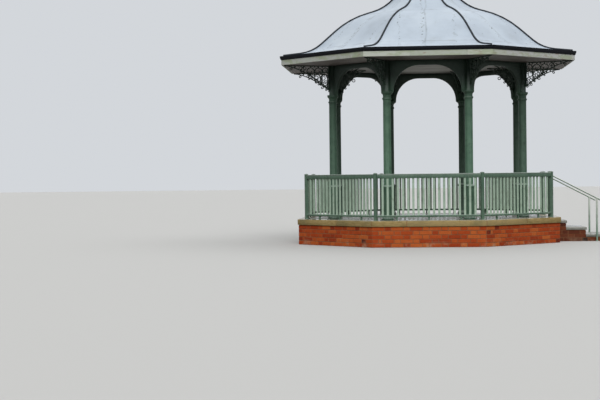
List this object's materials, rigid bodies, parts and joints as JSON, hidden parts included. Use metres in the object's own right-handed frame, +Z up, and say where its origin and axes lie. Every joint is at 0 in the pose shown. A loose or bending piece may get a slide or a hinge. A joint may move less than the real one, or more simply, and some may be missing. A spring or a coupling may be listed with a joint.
{
  "type": "bandstand",
  "caption": "Octagonal park bandstand on a low brick plinth: arched iron columns, slatted railing, side steps and a bell-shaped sheet roof with rolled hips.",
  "frame": {"origin": "on the ground under the roof's axis", "axes": "+Z up; the side facing -Y is the front; the steps are on the +X side"},
  "size_m": [6.9543, 6.2656, 6.9011],
  "materials": {
    "green_ironwork": "mid green paint",
    "railing_paint": "pale green paint",
    "red_brick": "orange-red facing brick with sandy mortar",
    "coping_stone": "buff sandstone, weathered",
    "tread_slab": "concrete slab, weathered",
    "deck_concrete": "smooth concrete",
    "painted_boards": "painted boards",
    "fascia_paint": "off-white paint with algae",
    "black_gutter": "black paint",
    "roof_sheet": "pale grey sheet, dull",
    "dark_hips": "dark paint",
    "dark_finial": "dark green paint"
  },
  "bodies": {
    "root": {"arch_1": "green_ironwork", "arch_2": "green_ironwork", "arch_3": "green_ironwork", "arch_4": "green_ironwork", "arch_5": "green_ironwork", "arch_6": "green_ironwork", "arch_7": "green_ironwork", "arch_8": "green_ironwork", "brick_plinth": "red_brick", "ceiling": "painted_boards", "column_1": "green_ironwork", "column_2": "green_ironwork", "column_3": "green_ironwork", "column_4": "green_ironwork", "column_5": "green_ironwork", "column_6": "green_ironwork", "column_7": "green_ironwork", "column_8": "green_ironwork", "deck_slab": "deck_concrete", "eaves_fascia": "fascia_paint", "finial": "dark_finial", "gate_railing_back": "railing_paint", "gate_railing_front": "railing_paint", "gutter": "black_gutter", "handrail_back": "railing_paint", "handrail_front": "railing_paint", "hip_rolls": "dark_hips", "inner_brackets": "green_ironwork", "outer_brackets": "green_ironwork", "railing_panel_1": "railing_paint", "railing_panel_2": "railing_paint", "railing_panel_3": "railing_paint", "railing_panel_4": "railing_paint", "railing_panel_5": "railing_paint", "railing_panel_6": "railing_paint", "railing_panel_7": "railing_paint", "railing_posts": "railing_paint", "roof_panels": "roof_sheet", "soffit": "painted_boards", "step_brickwork": "red_brick", "step_treads": "tread_slab", "stone_coping": "coping_stone"}
  },
  "joints": []
}
